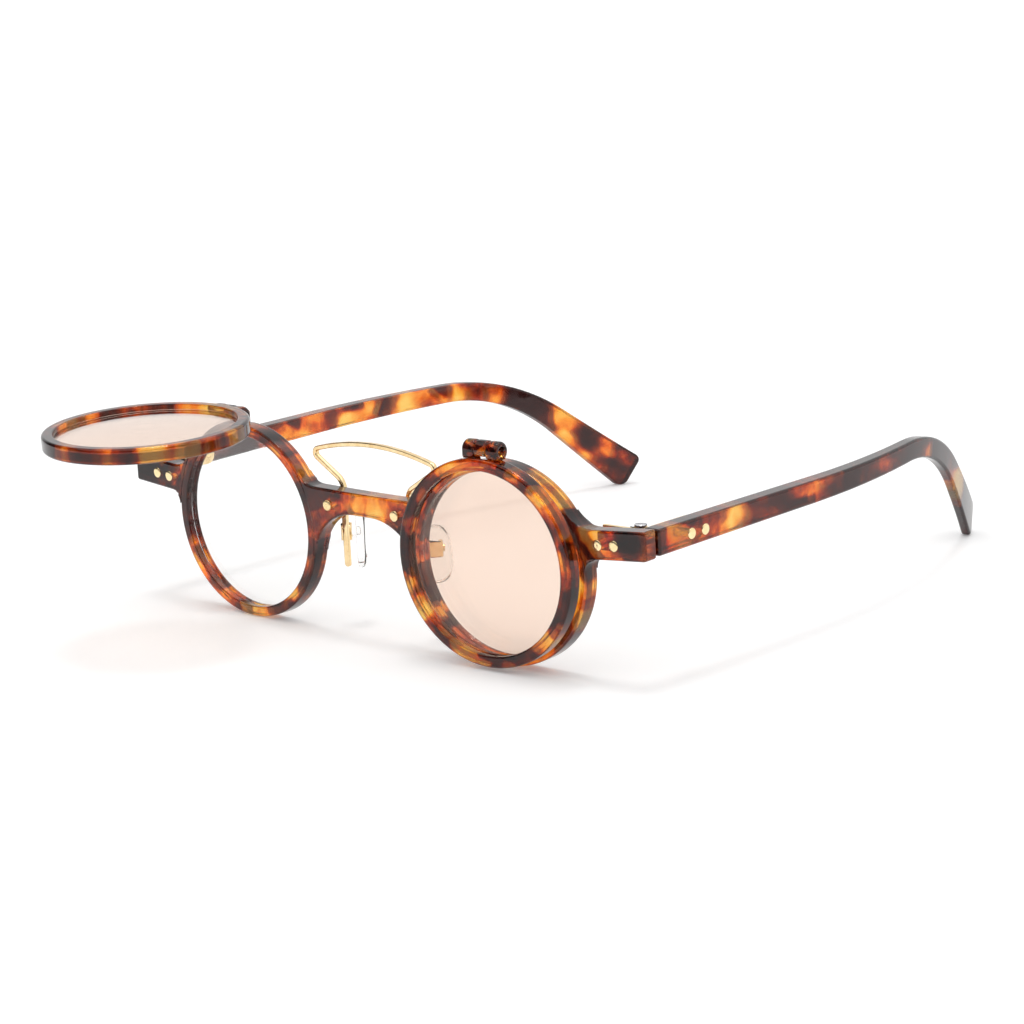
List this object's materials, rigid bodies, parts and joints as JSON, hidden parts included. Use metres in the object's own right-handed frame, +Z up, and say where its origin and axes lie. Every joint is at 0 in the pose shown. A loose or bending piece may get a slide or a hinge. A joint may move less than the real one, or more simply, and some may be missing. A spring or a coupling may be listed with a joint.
{
  "type": "flip up sunglasses",
  "caption": "Round-lens eyeglasses in tortoiseshell plastic with a gold brow bar, adjustable nose pads, folding temples, and tinted lenses that hinge up over clear ones.",
  "frame": {"origin": "on the floor the sunglasses rest on, under the middle of the box that holds them with the temples open and the wearer's right flip lens raised", "axes": "+Z up, -Y the way the wearer looks, +X to the wearer's left"},
  "size_m": [0.1398, 0.1772, 0.0443],
  "materials": {
    "tortoiseshell": "polished, mottled amber and dark brown",
    "gold_metal": "polished pale gold",
    "steel": "turned",
    "clear_lens": "clear",
    "tinted_lens": "pale pink-beige tint",
    "silicone": "clear"
  },
  "bodies": {
    "front": {"front_frame": "tortoiseshell", "brow_bar": "gold_metal", "bridge_rivets": "gold_metal", "clear_lens_left": "clear_lens", "flip_hinge_base_left": "tortoiseshell", "flip_hinge_pin_left": "steel", "pad_arm_left": "gold_metal", "pad_box_left": "gold_metal", "pad_screw_left": "gold_metal", "front_hinge_leaf_left": "gold_metal", "hinge_screw_left": "steel", "front_rivets_left": "gold_metal", "clear_lens_right": "clear_lens", "flip_hinge_base_right": "tortoiseshell", "flip_hinge_pin_right": "steel", "pad_arm_right": "gold_metal", "pad_box_right": "gold_metal", "pad_screw_right": "gold_metal", "front_hinge_leaf_right": "gold_metal", "hinge_screw_right": "steel", "front_rivets_right": "gold_metal"},
    "flip_left": {"flip_rim_left": "tortoiseshell", "tinted_lens_left": "tinted_lens", "flip_hinge_ears_left": "tortoiseshell"},
    "temple_arm_left": {"temple_left": "tortoiseshell", "temple_hinge_leaf_left": "gold_metal", "temple_rivets_left": "gold_metal"},
    "pad_left": {"nose_pad_left": "silicone"},
    "flip_right": {"flip_rim_right": "tortoiseshell", "tinted_lens_right": "tinted_lens", "flip_hinge_ears_right": "tortoiseshell"},
    "temple_arm_right": {"temple_right": "tortoiseshell", "temple_hinge_leaf_right": "gold_metal", "temple_rivets_right": "gold_metal"},
    "pad_right": {"nose_pad_right": "silicone"}
  },
  "joints": [
    {"name": "flip_hinge_left", "type": "hinge", "parent": "front", "child": "flip_left", "pos_m": [0.0348, -0.04724, 0.042], "axis": [-0.9988, -0.0488, 0], "range_deg": [0, 100]},
    {"name": "temple_fold_left", "type": "hinge", "parent": "front", "child": "temple_arm_left", "pos_m": [0.06432, -0.03819, 0.0269], "axis": [0, 0, 1], "range_deg": [0, 82]},
    {"name": "pad_rock_left", "type": "hinge", "parent": "front", "child": "pad_left", "pos_m": [0.01265, -0.03804, 0.0188], "axis": [0.6896, 0.7242, 0], "range_deg": [-8, 8]},
    {"name": "flip_hinge_right", "type": "hinge", "parent": "front", "child": "flip_right", "pos_m": [-0.0348, -0.04724, 0.042], "axis": [-0.9988, 0.0488, 0], "range_deg": [-88, 12]},
    {"name": "temple_fold_right", "type": "hinge", "parent": "front", "child": "temple_arm_right", "pos_m": [-0.06432, -0.03819, 0.0269], "axis": [0, 0, -1], "range_deg": [0, 70]},
    {"name": "pad_rock_right", "type": "hinge", "parent": "front", "child": "pad_right", "pos_m": [-0.01265, -0.03804, 0.0188], "axis": [0.6896, -0.7242, 0], "range_deg": [-8, 8]}
  ]
}
